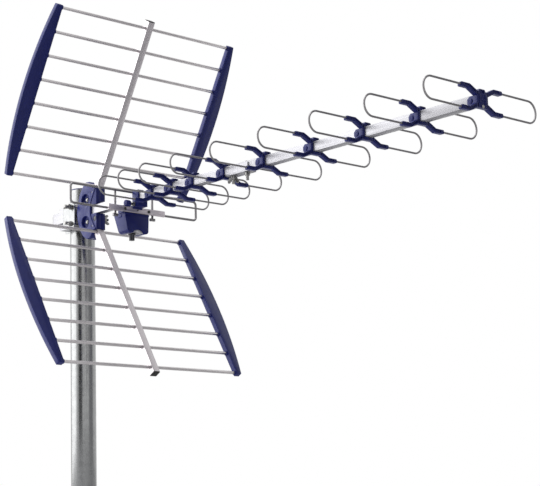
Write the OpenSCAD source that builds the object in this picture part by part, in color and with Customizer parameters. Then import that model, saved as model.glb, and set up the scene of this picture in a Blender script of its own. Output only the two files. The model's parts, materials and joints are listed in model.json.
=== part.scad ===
// Outdoor television antenna. A corner reflector of sixteen rods, a folded dipole with its
// matching box and nine pairs of wire directors sit on a square boom in two pieces, and the boom
// is clamped to the side of a round mast. The origin is the centre of the mast's lower end.
// +X points to the front, where the signal comes from, and +Z up.

/* [Mast] */
// Outer diameter of the mast
mast_d = 45; // [43:0.5:47]
// Wall of the mast tube
mast_wall = 2; // [1.5:0.1:3]
// Length of the mast below the boom axis
mast_below = 560; // [480:5:800]
// Length of the mast above the boom axis
mast_above = 53; // [45:1:90]
// Thickness of the flange of the mast's top cap
mast_cap_t = 2; // [1.5:0.1:3]

/* [Boom] */
// Side of the square boom tube
boom_s = 15; // [14.6:0.1:15.4]
// Wall of the boom tube
boom_wall = 1.2; // [1:0.1:2]
// Length of the boom behind the mast axis
boom_tail = 34; // [32:1:60]
// Length of the channel that joins the two boom pieces
splice_len = 55; // [50:1:60]
// Sheet thickness of the joining channel
splice_t = 1.5; // [1:0.1:2]
// Distance between the two joining bolts
splice_pitch = 34; // [28:1:36]

/* [Mast clamp] */
// Distance between the mast and the boom
saddle_web = 3; // [2.5:0.1:4]
// Diameter of the two clamp bolts
clamp_bolt_d = 6; // [5:0.5:6]
// Height of the upper clamp bolt above the boom axis
clamp_up = 14; // [13.5:0.5:15]
// Depth of the lower clamp bolt under the boom axis
clamp_down = 16.5; // [14:0.5:17]
// Thickness of the clamp plate
clamp_plate_t = 3; // [2:0.1:4]
// Thickness of the strap round the mast
strap_t = 2; // [1.5:0.1:2.5]

/* [Reflector] */
// Distance from the mast axis to the first rods
first_rod_x = 94.3; // [94:0.1:95]
// Height of the first rods above and under the boom axis
first_rod_h = 40.8; // [40.5:0.1:41.5]
// Distance between neighbouring rods
rod_pitch = 41.8; // [36:0.1:46]
// Angle of each half of the reflector to the vertical
reflector_angle = 30; // [29:0.5:31]
// Number of rods in each half
rod_count = 8; // [5:1:9]
// Diameter of the rods
rod_d = 5.5; // [4.5:0.1:6]
// Length of rod between the two end caps
rod_span = 363; // [303:5:423]
// Side of the square tube that carries the rods
panel_tube_s = 12.7; // [12:0.1:13]
// Wall of that tube
panel_tube_wall = 1.2; // [1:0.1:1.6]

/* [End caps of the rods] */
// Width of an end cap at its two ends
cap_end_w = 11; // [11:0.5:16]
// Width of an end cap at its middle
cap_mid_w = 26; // [22:0.5:34]
// Thickness of an end cap at its inner edge
cap_t = 9.5; // [9:0.5:12]
// Amount by which the front of an end cap falls back towards its outer edge
cap_fall = 1; // [0.5:0.5:2]
// Distance from the outer rods to the end of a cap
cap_margin = 4.5; // [4.5:0.5:12]
// Wall of an end cap
cap_wall = 1.8; // [1.5:0.1:2]

/* [Reflector holder] */
// Width of the holder across the boom
holder_w = 22; // [21.6:0.1:24]
// Height of the raised side plates over the holder's core
side_plate_t = 1.4; // [0.8:0.1:1.8]
// Diameter of the two round recesses
recess_d = 21; // [16:0.5:21]
// Depth of the recesses
recess_depth = 5; // [3:0.5:5]
// Diameter of the two holder bolts
holder_bolt_d = 5; // [4:0.5:5]

/* [Directors] */
// Distance from the mast axis to the first director
first_director_x = 255; // [250:1:262]
// Spacing from the first director to the second
director_gap_1 = 52; // [46:1:60]
// Spacing from the second director to the third
director_gap_2 = 55; // [46:1:62]
// Spacing from the third director to the fourth
director_gap_3 = 79; // [66:1:90]
// Spacing from the fourth director to the fifth
director_gap_4 = 95; // [90:1:104]
// Spacing of the directors beyond the fifth
director_pitch = 108.5; // [90:0.5:120]
// Half length of a director over its wire centres
director_half = 118; // [100:1:130]
// Height of a director loop between its wire centres
loop_gap = 31.8; // [31:0.2:33]
// Diameter of the director wire
wire_d = 3; // [2:0.1:3.4]
// Distance from the boom axis to the end of a wire sleeve
sleeve_reach = 42.8; // [38:0.2:48]
// Length of wire inside its sleeve
wire_grip = 14; // [8:0.5:15]

/* [Dipole] */
// Distance from the mast axis to the dipole
dipole_x = 199.3; // [197:0.1:200]
// Half length of the dipole over its wire centres
dipole_half = 135; // [120:1:150]
// Height of the upper dipole wire above the boom axis
dipole_top = 10.6; // [10.3:0.1:12]
// Distance between the upper and the lower dipole wire
dipole_gap = 33.2; // [33:0.1:36]
// Diameter of the dipole wire
dipole_d = 4; // [3.6:0.1:4.4]
// Bend radius of the dipole's corners
dipole_bend = 6; // [5:0.5:12]
// Half distance between the two upright struts
strut_half = 40; // [36:0.5:52]
// Length of the flat plate in front of the lower wire
plate_len = 121; // [116:1:150]
// Height of that plate
plate_h = 10; // [9:0.1:11]
// Thickness of that plate
plate_t = 3.5; // [2:0.1:4]

/* [Balun box] */
// Width of the box at its top
box_w = 51; // [48:0.5:56]
// Height of the box under its cover
box_h = 32; // [30:0.5:40]
// Depth of the box at its top
box_depth = 31; // [30:0.5:36]
// Wall of the box
box_wall = 2; // [1.5:0.1:2.5]

/* [Hidden] */
$fn = 48;
// Clearance between pieces that slide into each other
fit = 0.15;
// Clearance between the mast and the clamp that turns on it
mast_gap = 0.3;
boom_z = mast_below;
// Distance from the boom axis to the mast axis
mast_y = mast_d / 2 + saddle_web + boom_s / 2;
boom_bore = boom_s + 2 * fit;
tube_bore = panel_tube_s + 2 * fit;
// Through bolts of the boom and the wing nuts on them
m5 = 5;
m5_hole = 5.4;
nut_h = 5;
wing_h = 11;
wing_span = 19;
// Mast clamp
sleeve_half = 10;
clamp_bolt_x = mast_d / 2 + 5.5;
strap_low = -clamp_down - 5.5;
strap_top = clamp_up + 5.5;
flange_y = mast_y - 12;
ear_x = -mast_d / 2 - 15.5;
// Reflector
rod_run = rod_pitch * (rod_count - 1);
tube_into = 30;
tube_end_gap = 12.5;
panel_plug_t = 1.6;
rod_in_cap = 8;
collar_out = 2;
// Holder
holder_bolt_x = 69;
holder_bolt_h = 20;
pin_s = -12;
pin_d = 3;
clasp_x = 95;
clasp_h = -17.5;
// Director clips
clip_wall = 4;
clip_front = 2.5;
clip_rear = 5.5;
tab_rear = 17;
tip_wall = 2;
arm_half = 3.2;
director_x = [for (i = [0:8]) first_director_x
    + (i > 0 ? director_gap_1 : 0) + (i > 1 ? director_gap_2 : 0) + (i > 2 ? director_gap_3 : 0)
    + (i > 3 ? director_gap_4 : 0) + (i > 4 ? director_pitch * (i - 4) : 0)];
splice_x = director_x[3] + clip_front + 1 + splice_len / 2;
splice_bolt_x = [splice_x - splice_pitch / 2, splice_x + splice_pitch / 2];
front_end_x = director_x[8] + clip_front - tip_wall - fit;
// Dipole, its plate and the box
dipole_bottom = dipole_top - dipole_gap;
feed_half = 20;
strut_d = 4;
plate_x = dipole_x + dipole_d / 2;
plate_z = dipole_bottom + 1.5;
plate_screw_half = 25.5;
cover_t = 2.4;
cover_top = plate_z - plate_h / 2 - 0.9;
box_top = cover_top - cover_t;
box_low = box_top - box_h;
box_front = plate_x + plate_t - 1;
box_taper = 3.5;
box_lean = 3;
box_slant = 9;
arch_r = 14;
arch_z = box_low - 8;
liner_t = 2;
connector_x = box_front - 15;
connector_d = 9.4;
// Bracket that carries the dipole and the box
bracket_half = 10;
bracket_x = plate_x + 3;
bracket_len = 16;
foot_half = 28;
foot_x = plate_x - 14;
bracket_bolt_x = bracket_x + 4.5;
bracket_bolt_z = -12.2;

director_names = ["1", "2", "3", "4", "5", "6", "7", "8", "9"];

// Points of an arc that rounds the corner b between its neighbours a and c
function unit(v) = v / norm(v);
function turn(a, b) = let (d = b - a) d > 180 ? d - 360 : d < -180 ? d + 360 : d;
function corner(a, b, c, r, n) =
    let (u = unit(a - b), v = unit(c - b))
    let (half = acos(max(-1, min(1, u * v))) / 2)
    let (centre = b + unit(u + v) * r / sin(half))
    let (s = b + u * r / tan(half) - centre, e = b + v * r / tan(half) - centre)
    let (a0 = atan2(s[1], s[0]), sweep = turn(atan2(s[1], s[0]), atan2(e[1], e[0])))
    [for (i = [0:n]) centre + r * [cos(a0 + sweep * i / n), sin(a0 + sweep * i / n)]];
function rounded(p, r, n = 4) =
    [for (i = [0:len(p) - 1])
        for (q = corner(p[(i + len(p) - 1) % len(p)], p[i], p[(i + 1) % len(p)], r, n)) q];
// An outline's upper half followed by its mirror image under the boom axis
function both_halves(p) = concat(p, [for (i = [1:len(p)]) [p[len(p) - i][0], -p[len(p) - i][1]]]);

// Moves its children from the boom's own frame, with its axis on X, to the antenna's frame
module on_boom() {
    translate([0, -mast_y, boom_z]) children();
}

// Extrudes an outline drawn as [X, Z] from one Y to another
module side_profile(y0, y1) {
    translate([0, y1, 0]) rotate([90, 0, 0]) linear_extrude(y1 - y0) children();
}

// Extrudes an outline drawn as [Y, Z] from one X to another
module front_profile(x0, x1) {
    translate([x0, 0, 0]) rotate([90, 0, 90]) linear_extrude(x1 - x0) children();
}

// Round bar along Y
module bar_y(x, y0, y1, z, d) {
    translate([x, y1, z]) rotate([90, 0, 0]) cylinder(d = d, h = y1 - y0);
}

// Square tube along X
module square_tube_x(x0, x1, side, wall) {
    difference() {
        translate([x0, -side / 2, -side / 2]) cube([x1 - x0, side, side]);
        translate([x0 - 1, -side / 2 + wall, -side / 2 + wall])
            cube([x1 - x0 + 2, side - 2 * wall, side - 2 * wall]);
    }
}

// Wing nut that stands on z = 0 with its wings up
module wing_nut(bore, span, h) {
    wing = rounded([[2.4, 0.4], [5.4, 0.4], [span / 2, h - 3.4], [span / 2 - 0.6, h],
        [span / 2 - 3.8, h], [2.4, nut_h]], 0.8, 3);
    difference() {
        union() {
            cylinder(d1 = 9.6, d2 = 8, h = nut_h);
            for (side = [0, 180])
                rotate([90, 0, side]) translate([0, 0, -1]) linear_extrude(2) polygon(wing);
        }
        translate([0, 0, -1]) cylinder(d = bore, h = h + 2);
    }
}

// Round-headed bolt: the head stands on z = 0 and the shank goes down
module round_bolt(d, head_d, head_h, length) {
    sphere_r = (head_d * head_d / 4 + head_h * head_h) / (2 * head_h);
    intersection() {
        translate([0, 0, head_h - sphere_r]) sphere(r = sphere_r);
        cylinder(d = head_d, h = head_h + 1);
    }
    translate([0, 0, -length]) cylinder(d = d, h = length + 0.2);
}

// Hexagon-headed bolt: the head stands on z = 0 and the shank goes down
module hex_bolt(d, across, head_h, length) {
    cylinder(d = across / cos(30), h = head_h, $fn = 6);
    translate([0, 0, -length]) cylinder(d = d, h = length + 0.2);
}

// Mast
module mast_tube() {
    color("lightgray") difference() {
        cylinder(d = mast_d, h = mast_below + mast_above, $fn = 72);
        translate([0, 0, -1])
            cylinder(d = mast_d - 2 * mast_wall, h = mast_below + mast_above + 2, $fn = 72);
    }
}

module mast_cap() {
    top = mast_below + mast_above;
    color("midnightblue") difference() {
        union() {
            translate([0, 0, top]) cylinder(d = mast_d, h = mast_cap_t);
            translate([0, 0, top - 10])
                cylinder(d = mast_d - 2 * mast_wall - 2 * fit, h = 10 + 0.1);
        }
        translate([0, 0, top - 11]) cylinder(d = mast_d - 2 * mast_wall - 5, h = 11);
    }
}

// Mast clamp: a saddle that the boom passes through, a strap hooked into its rear ear and
// pulled home by two bolts in front of the mast, and a plate under their wing nuts
module mast_saddle() {
    bore_r = mast_d / 2 + mast_gap;
    color("silver") on_boom() difference() {
        union() {
            translate([-mast_d / 2 - 8.5, -sleeve_half, -sleeve_half])
                cube([mast_d + 17, 2 * sleeve_half + 0.5, 2 * sleeve_half]);
            translate([-mast_d / 2 - 1.5, 0, -20]) cube([mast_d + 3, mast_y - 15, 40]);
            translate([ear_x, boom_bore / 2, -12]) cube([11, flange_y - boom_bore / 2 + 4, 24]);
        }
        translate([-80, -boom_bore / 2, -boom_bore / 2]) cube([160, boom_bore, boom_bore]);
        translate([0, mast_y, -40]) cylinder(r = bore_r, h = 80, $fn = 72);
        for (a = [-36:12:36])
            translate([0, mast_y, 0]) rotate([0, 0, a - 90]) translate([bore_r, 0, 0])
                rotate([0, 0, 45]) cube([1.4, 1.4, 60], center = true);
        translate([ear_x + 3, flange_y - strap_t - 0.3, -30]) cube([20, strap_t + 0.6, 60]);
    }
}

module mast_strap() {
    in_r = mast_d / 2 + mast_gap;
    out_r = in_r + strap_t;
    root = sqrt(in_r * in_r - 144) + 1;
    low = -12 - strap_t;
    color("lightgray") on_boom() difference() {
        translate([0, mast_y, strap_low]) linear_extrude(strap_top - strap_low) difference() {
            union() {
                intersection() {
                    circle(r = out_r, $fn = 72);
                    translate([-out_r - 1, low]) square([2 * out_r + 2, 2 * out_r]);
                }
                translate([root, low]) square([clamp_bolt_x + 6 - root, strap_t]);
                translate([ear_x + 4, low]) square([-ear_x - 4 - root, strap_t]);
            }
            circle(r = in_r, $fn = 72);
        }
        for (z = [-clamp_down, clamp_up])
            bar_y(clamp_bolt_x, 0, mast_y, z, clamp_bolt_d + 0.6);
    }
}

module clamp_plate() {
    x0 = 4;
    x1 = clamp_bolt_x + 11;
    edge = rounded([[x0, clamp_up + 7], [x1, clamp_up + 7], [x1, -clamp_down - 8.5],
        [x0, -clamp_down - 8.5]], 7, 6);
    color("gainsboro") on_boom() difference() {
        side_profile(-sleeve_half - clamp_plate_t, -sleeve_half) polygon(edge);
        for (z = [-clamp_down, clamp_up])
            bar_y(clamp_bolt_x, -30, 0, z, clamp_bolt_d + 0.6);
    }
}

module clamp_bolts() {
    length = flange_y + sleeve_half + clamp_plate_t + 13;
    color("silver") on_boom() for (z = [-clamp_down, clamp_up])
        translate([clamp_bolt_x, flange_y, z]) rotate([-90, 0, 0])
            rotate([0, 0, 30]) hex_bolt(clamp_bolt_d, 9, 3.6, length);
}

module clamp_wing_nuts() {
    color("silver") on_boom() for (z = [-clamp_down, clamp_up])
        translate([clamp_bolt_x, -sleeve_half - clamp_plate_t, z])
            rotate([90, 0, 0]) rotate([0, 0, z > 0 ? 12 : -20])
                wing_nut(clamp_bolt_d + 0.2, wing_span, wing_h);
}

// Boom
module bolt_holes(xs) {
    for (x = xs) translate([x, 0, -boom_s]) cylinder(d = m5_hole, h = 2 * boom_s);
}

module rear_boom() {
    color("gainsboro") on_boom() difference() {
        square_tube_x(-boom_tail, splice_x, boom_s, boom_wall);
        bolt_holes([splice_bolt_x[0]]);
    }
}

module front_boom() {
    color("gainsboro") on_boom() difference() {
        square_tube_x(splice_x, front_end_x, boom_s, boom_wall);
        bolt_holes([splice_bolt_x[1]]);
    }
}

module boom_plug() {
    inner = boom_s - 2 * boom_wall - 2 * fit;
    color("midnightblue") on_boom() {
        translate([-boom_tail - 1.6, -boom_s / 2, -boom_s / 2]) cube([1.6, boom_s, boom_s]);
        translate([-boom_tail - 0.1, -inner / 2, -inner / 2]) cube([10, inner, inner]);
    }
}

module boom_splice() {
    outer = boom_bore + 2 * splice_t;
    color("lightgray") on_boom() difference() {
        translate([splice_x - splice_len / 2, -outer / 2, -outer / 2])
            cube([splice_len, outer, outer / 2 + boom_s / 2 - 2]);
        translate([splice_x - splice_len / 2 - 1, -boom_bore / 2, -boom_bore / 2])
            cube([splice_len + 2, boom_bore, boom_s * 2]);
        bolt_holes(splice_bolt_x);
    }
}

module splice_bolts() {
    color("silver") on_boom() for (x = splice_bolt_x)
        translate([x, 0, boom_s / 2]) round_bolt(m5, 11, 3, boom_s + splice_t + 12);
}

// Wing nuts of the two joining bolts and of the holder's clasp bolt
module small_wing_nuts() {
    under = -boom_bore / 2 - splice_t;
    core_half = holder_w / 2 - side_plate_t;
    color("silver") on_boom() {
        for (i = [0, 1])
            translate([splice_bolt_x[i], 0, under]) rotate([180, 0, 30 - 70 * i])
                wing_nut(m5 + 0.2, wing_span, wing_h);
        translate([clasp_x, core_half, clasp_h]) rotate([-90, 0, 0]) rotate([0, 0, 80])
            wing_nut(m5 + 0.2, wing_span, wing_h);
    }
}

// Places its children at the first rod, with +Z along the tube and +X to the front. Side is 1
// for the upper half of the reflector and -1 for the lower half.
module on_panel(side) {
    on_boom() mirror([0, 0, side > 0 ? 0 : 1]) translate([first_rod_x, 0, first_rod_h])
        rotate([0, reflector_angle, 0]) children();
}

// Point on a tube's axis, at distance s beyond the first rod
function tube_point(s) =
    [first_rod_x + sin(reflector_angle) * s, first_rod_h + cos(reflector_angle) * s];

// Reflector holder: two moulded halves that meet at the boom's middle plane
holder_rear = [[44.3, 3], [46, 13], [53, 32], [60, 42], [64, 46], [72, 51], [82, 50.5], [88, 44],
    [90.5, 37.5], [100, 37]];
holder_core = both_halves(concat(holder_rear, [[100, 8.2], [84, 8.2]]));
holder_side = both_halves(concat(holder_rear, [[96, 33], [91, 25], [87, 18], [84, 11],
    [83, 6]]));

module holder_half() {
    core_half = holder_w / 2 - side_plate_t;
    difference() {
        union() {
            side_profile(0, core_half) polygon(rounded(holder_core, 1.2, 2));
            side_profile(core_half - 0.5, holder_w / 2) polygon(rounded(holder_side, 1.2, 2));
        }
        translate([30, -boom_bore / 2, -boom_bore / 2]) cube([90, boom_bore, boom_bore]);
        for (side = [-1, 1]) {
            mirror([0, 0, side > 0 ? 0 : 1]) translate([first_rod_x, 0, first_rod_h])
                rotate([0, reflector_angle, 0])
                    translate([-tube_bore / 2, -tube_bore / 2, -tube_into - fit])
                        cube([tube_bore, tube_bore, 60]);
            bar_y(holder_bolt_x, -1, 20, side * holder_bolt_h, holder_bolt_d + 0.4);
            bar_y(holder_bolt_x, holder_w / 2 - recess_depth, 20, side * holder_bolt_h, recess_d);
            bar_y(tube_point(pin_s)[0], -1, 20, side * tube_point(pin_s)[1], pin_d + 0.2);
        }
        bar_y(clasp_x, -1, 20, clasp_h, m5 + 0.4);
        bar_y(50.8, holder_w / 2 - 3, 20, 18, 3.4);
    }
}

module holder_left_half() {
    color("midnightblue") on_boom() holder_half();
}

module holder_right_half() {
    color("midnightblue") on_boom() difference() {
        mirror([0, 1, 0]) holder_half();
        bar_y(clasp_x, -20, -holder_w / 2 + side_plate_t + 3.4, clasp_h, 9.4);
    }
}

module holder_bolts() {
    seat = holder_w / 2 - recess_depth;
    color("silver") on_boom() for (h = [-holder_bolt_h, holder_bolt_h])
        translate([holder_bolt_x, -seat, h]) rotate([90, 0, 0])
            round_bolt(holder_bolt_d, 9, 2.8, 2 * seat + 4.8);
}

module holder_nuts() {
    seat = holder_w / 2 - recess_depth;
    color("silver") on_boom() for (h = [-holder_bolt_h, holder_bolt_h])
        translate([holder_bolt_x, seat, h]) rotate([-90, 0, 0]) difference() {
            cylinder(d = 8 / cos(30), h = 4, $fn = 6);
            translate([0, 0, -1]) cylinder(d = holder_bolt_d + 0.2, h = 6);
        }
}

module tube_pins() {
    p = tube_point(pin_s);
    color("silver") on_boom() for (h = [-p[1], p[1]])
        bar_y(p[0], -holder_w / 2 + 0.6, holder_w / 2 - 0.6, h, pin_d);
}

module clasp_bolt() {
    core_half = holder_w / 2 - side_plate_t;
    color("silver") on_boom() translate([clasp_x, -core_half + 3.4, clasp_h])
        rotate([90, 0, 0]) hex_bolt(m5, 8, 3.2, 2 * core_half - 3.4 + 10);
}

// Reflector: a square tube, rods through it, an end cap on each side
module panel_tube() {
    half = panel_tube_s / 2;
    inner = panel_tube_s - 2 * panel_tube_wall;
    long = tube_into + rod_run + tube_end_gap;
    difference() {
        translate([-half, -half, -tube_into]) cube([panel_tube_s, panel_tube_s, long]);
        translate([-inner / 2, -inner / 2, -tube_into - 1]) cube([inner, inner, long + 2]);
        for (i = [0:rod_count - 1])
            bar_y(0, -panel_tube_s, panel_tube_s, i * rod_pitch, rod_d + 0.3);
        bar_y(0, -panel_tube_s, panel_tube_s, pin_s, pin_d + 0.2);
    }
}

module panel_plug() {
    inner = panel_tube_s - 2 * panel_tube_wall - 2 * fit;
    end = rod_run + tube_end_gap;
    translate([-panel_tube_s / 2, -panel_tube_s / 2, end])
        cube([panel_tube_s, panel_tube_s, panel_plug_t]);
    translate([-inner / 2, -inner / 2, end - 7]) cube([inner, inner, 7.1]);
}

module panel_rods() {
    reach = rod_span / 2 + rod_in_cap;
    for (i = [0:rod_count - 1])
        bar_y(0, -reach, reach, i * rod_pitch, rod_d);
}

// Outline of an end cap, straight inside and bowed outside, drawn as [Y, Z] from its inner edge
module cap_outline(inset) {
    half = rod_run / 2 + cap_margin;
    bow = cap_mid_w - cap_end_w;
    r = (half * half + bow * bow) / (2 * bow);
    intersection() {
        translate([inset, inset - cap_margin])
            square([cap_mid_w + 1, 2 * half - 2 * inset]);
        translate([cap_mid_w - r, rod_run / 2]) circle(r = r - inset, $fn = 240);
    }
}

// Everything in front of a plane that falls back from the inner edge of a cap
module cap_front_cut(depth) {
    translate([cap_t / 2 - depth, 0, 0]) rotate([0, 0, atan(cap_fall / cap_mid_w)])
        translate([0, -20, -20]) cube([20, 80, rod_run + 40]);
}

// Moulded end cap, open at its back, with a socket and a collar for each rod
module panel_cap() {
    difference() {
        union() {
            difference() {
                front_profile(-cap_t / 2, cap_t / 2) cap_outline(0);
                difference() {
                    front_profile(-cap_t / 2 - 1, cap_t / 2) cap_outline(cap_wall);
                    cap_front_cut(cap_wall);
                }
                cap_front_cut(0);
            }
            for (i = [0:rod_count - 1])
                bar_y(0, -collar_out, rod_in_cap + 2, i * rod_pitch, rod_d + 2.6);
        }
        for (i = [0:rod_count - 1])
            bar_y(0, -collar_out - 1, rod_in_cap + fit, i * rod_pitch, rod_d + 2 * fit);
    }
}

module panel_cap_at(side, hand) {
    on_panel(side) mirror([0, hand > 0 ? 0 : 1, 0]) translate([0, rod_span / 2, 0]) panel_cap();
}

module upper_tube() { color("silver") on_panel(1) panel_tube(); }
module lower_tube() { color("silver") on_panel(-1) panel_tube(); }
module upper_tube_plug() { color("black") on_panel(1) panel_plug(); }
module lower_tube_plug() { color("black") on_panel(-1) panel_plug(); }
module upper_rods() { color("darkgray") on_panel(1) panel_rods(); }
module lower_rods() { color("darkgray") on_panel(-1) panel_rods(); }
module upper_left_cap() { color("midnightblue") panel_cap_at(1, 1); }
module upper_right_cap() { color("midnightblue") panel_cap_at(1, -1); }
module lower_left_cap() { color("midnightblue") panel_cap_at(-1, 1); }
module lower_right_cap() { color("midnightblue") panel_cap_at(-1, -1); }

// Director clip: a moulded web round the boom with four arms, each with a sleeve for a wire,
// and a snap tab along the boom's right side
module clip_arm(hand, side) {
    z = loop_gap / 2;
    body = boom_s / 2 + clip_wall;
    points = rounded([[body - 3.5, 4], [body + 1, 5.5], [26.5, z - arm_half],
        [sleeve_reach, z - arm_half], [sleeve_reach, z + arm_half], [25, z + arm_half],
        [body - 0.5, body + 1], [body - 3.5, body]], 1, 2);
    front_profile(-clip_rear, clip_front)
        polygon([for (p = points) [p[0] * hand, p[1] * side]]);
}

module clip_body() {
    half = boom_s / 2 + clip_wall;
    front_profile(-clip_rear, clip_front) polygon(rounded([[-half, -half - 0.5],
        [half, -half - 0.5], [half, half], [7, half + 0.5], [5.5, half + 3.5],
        [-5.5, half + 3.5], [-7, half + 0.5], [-half, half]], 1, 2));
}

module clip_tab() {
    half = boom_s / 2 + 3;
    side_profile(-half, -boom_bore / 2) polygon(rounded([[-tab_rear, 2], [-tab_rear + 4, 6],
        [-clip_rear + 1, 6], [-clip_rear + 1, -8], [-tab_rear + 4, -8], [-tab_rear, -4]], 1.5, 3));
    bar_y(-11, -half - 1.2, -boom_bore / 2, -1, 8);
}

module director_clip(index) {
    tip = index == 8;
    grip = sleeve_reach - wire_grip - fit;
    color("midnightblue") on_boom() translate([director_x[index], 0, 0]) difference() {
        union() {
            clip_body();
            for (side = [-1, 1], hand = [-1, 1]) clip_arm(hand, side);
            clip_tab();
        }
        translate([-40, -boom_bore / 2, -boom_bore / 2])
            cube([tip ? 40 + clip_front - tip_wall : 80, boom_bore, boom_bore]);
        for (z = [-loop_gap / 2, loop_gap / 2]) {
            bar_y(0, grip, 60, z, wire_d + 2 * fit);
            bar_y(0, -60, -grip, z, wire_d + 2 * fit);
        }
        if (tip)
            translate([-20, 0, -boom_s / 2 - 2.4]) rotate([0, 90, 0]) cylinder(d = 3.2, h = 40);
    }
}

// One director wire bent into a U, its open end in two sleeves
module wire_loop(hand) {
    bend = loop_gap / 2;
    inner = sleeve_reach - wire_grip;
    straight = director_half - bend - inner;
    translate([0, hand * (director_half - bend), 0])
        rotate([0, hand > 0 ? -90 : 90, 0]) rotate([0, 0, hand > 0 ? 0 : 180])
            rotate_extrude(angle = 180) translate([bend, 0]) circle(d = wire_d, $fn = 20);
    for (z = [-bend, bend])
        translate([0, hand * inner, z]) rotate([-90 * hand, 0, 0])
            cylinder(d = wire_d, h = straight, $fn = 20);
}

module director_wires(index) {
    color("dimgray") on_boom() translate([director_x[index], 0, 0])
        for (hand = [-1, 1]) wire_loop(hand);
}

module tip_screw() {
    color("silver") on_boom()
        translate([director_x[8] + clip_front, 0, -boom_s / 2 - 2.4]) rotate([0, 90, 0])
            round_bolt(3, 5.4, 1.8, clip_front + clip_rear + 1.5);
}

// Dipole: a flat loop of wire, open at the bottom, where its ends go into the bracket's foot
module dipole_corner(y, z, start) {
    translate([dipole_x, y, z]) rotate([90, 0, 90]) rotate([0, 0, start])
        rotate_extrude(angle = 90) translate([dipole_bend, 0]) circle(d = dipole_d, $fn = 24);
}

module dipole_loop() {
    run = dipole_half - dipole_bend;
    color("dimgray") on_boom() {
        translate([dipole_x, run, dipole_top]) rotate([90, 0, 0])
            cylinder(d = dipole_d, h = 2 * run, $fn = 24);
        for (hand = [-1, 1]) {
            translate([dipole_x, hand * run, dipole_bottom]) rotate([90 * hand, 0, 0])
                cylinder(d = dipole_d, h = run - feed_half, $fn = 24);
            translate([dipole_x, hand * dipole_half, dipole_bottom + dipole_bend])
                cylinder(d = dipole_d, h = dipole_gap - 2 * dipole_bend, $fn = 24);
        }
        dipole_corner(run, dipole_top - dipole_bend, 0);
        dipole_corner(-run, dipole_top - dipole_bend, 90);
        dipole_corner(-run, dipole_bottom + dipole_bend, 180);
        dipole_corner(run, dipole_bottom + dipole_bend, 270);
    }
}

// Two struts behind the loop, each with a flat foot under the lower wire
module dipole_struts() {
    back = dipole_x - dipole_d / 2 - strut_d / 2;
    color("dimgray") on_boom() for (hand = [-1, 1]) {
        translate([back, hand * strut_half, dipole_bottom - 8])
            cylinder(d = strut_d, h = dipole_gap + 8 + dipole_d / 2, $fn = 24);
        translate([back - 2, hand * strut_half - 5, dipole_bottom - 11.5])
            cube([4, 10, 4.5]);
    }
}

module dipole_plate() {
    color("darkgray") on_boom() difference() {
        translate([plate_x, -plate_len / 2, plate_z - plate_h / 2])
            cube([plate_t, plate_len, plate_h]);
        for (y = [-plate_screw_half, plate_screw_half])
            translate([plate_x - 1, y, plate_z]) rotate([0, 90, 0])
                cylinder(d = 4.2, h = plate_t + 2);
    }
}

module dipole_screws() {
    color("black") on_boom() {
        for (y = [-plate_screw_half, plate_screw_half])
            translate([plate_x + plate_t, y, plate_z]) rotate([0, 90, 0])
                round_bolt(3.8, 5.6, 1.6, plate_t);
        translate([plate_x + plate_t, 1, plate_z]) rotate([0, 90, 0]) cylinder(d = 2.4, h = 0.8);
    }
}

// Bracket: a collar on the boom, a neck under it and a foot that holds the dipole's ends
module dipole_bracket() {
    half = bracket_half;
    low = bracket_bolt_z - 4.5;
    color("midnightblue") on_boom() difference() {
        union() {
            translate([bracket_x, -half, low])
                cube([bracket_len, 2 * half, boom_s / 2 + 4 - low]);
            translate([foot_x + 2, -half, low - 3]) cube([bracket_x - foot_x, 2 * half, 8.5]);
            translate([foot_x, -foot_half, cover_top])
                cube([plate_x - foot_x, 2 * foot_half, low + 1 - cover_top]);
        }
        translate([foot_x - 20, -boom_bore / 2, -boom_bore / 2]) cube([140, boom_bore, boom_bore]);
        bar_y(dipole_x, feed_half - fit, 60, dipole_bottom, dipole_d + 2 * fit);
        bar_y(dipole_x, -60, -feed_half + fit, dipole_bottom, dipole_d + 2 * fit);
        bar_y(bracket_bolt_x, -60, 60, bracket_bolt_z, 4.4);
        translate([plate_x - fit, -plate_len, plate_z - plate_h / 2 - fit])
            cube([plate_t + 2 * fit, 2 * plate_len, plate_h + 2 * fit]);
    }
}

module bracket_bolt() {
    color("black") on_boom()
        bar_y(bracket_bolt_x, -24, bracket_half + 3, bracket_bolt_z, 4);
}

module bracket_knob() {
    color("midnightblue") on_boom() difference() {
        bar_y(bracket_bolt_x, -29, -19, bracket_bolt_z, 10);
        bar_y(bracket_bolt_x, -24, -18, bracket_bolt_z, 4.2);
    }
}

module bracket_nut() {
    color("silver") on_boom() translate([bracket_bolt_x, -bracket_half, bracket_bolt_z])
        rotate([90, 0, 0]) rotate([0, 0, 30]) difference() {
            union() {
                cylinder(d = 8, h = 1);
                cylinder(d = 7 / cos(30), h = 4.4, $fn = 6);
            }
            translate([0, 0, -1]) cylinder(d = 4.2, h = 7);
        }
}

// Balun box: a cover under the bracket's foot and a tapered housing that hangs from it
module balun_cover() {
    color("midnightblue") on_boom()
        translate([box_front - box_depth - 0.8, -box_w / 2 - 0.8, box_top])
            cube([box_depth + 1.6, box_w + 1.6, cover_t]);
}

module box_form(inset) {
    half = box_w / 2 - inset;
    low_half = half - box_taper;
    low = box_low + inset;
    a = [half, box_top];
    b = [low_half, low];
    c = [-low_half, low];
    d = [-half, box_top];
    intersection() {
        front_profile(box_front - box_depth - 5, box_front + 10)
            polygon(concat([d, a], corner(a, b, c, 6 - inset, 5), corner(b, c, d, 6 - inset, 5)));
        side_profile(-box_w, box_w) polygon([
            [box_front - box_depth + inset, box_top], [box_front - inset, box_top],
            [box_front - inset + box_lean, box_low - 1],
            [box_front - box_depth + box_slant + inset, box_low - 1]]);
    }
}

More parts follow.
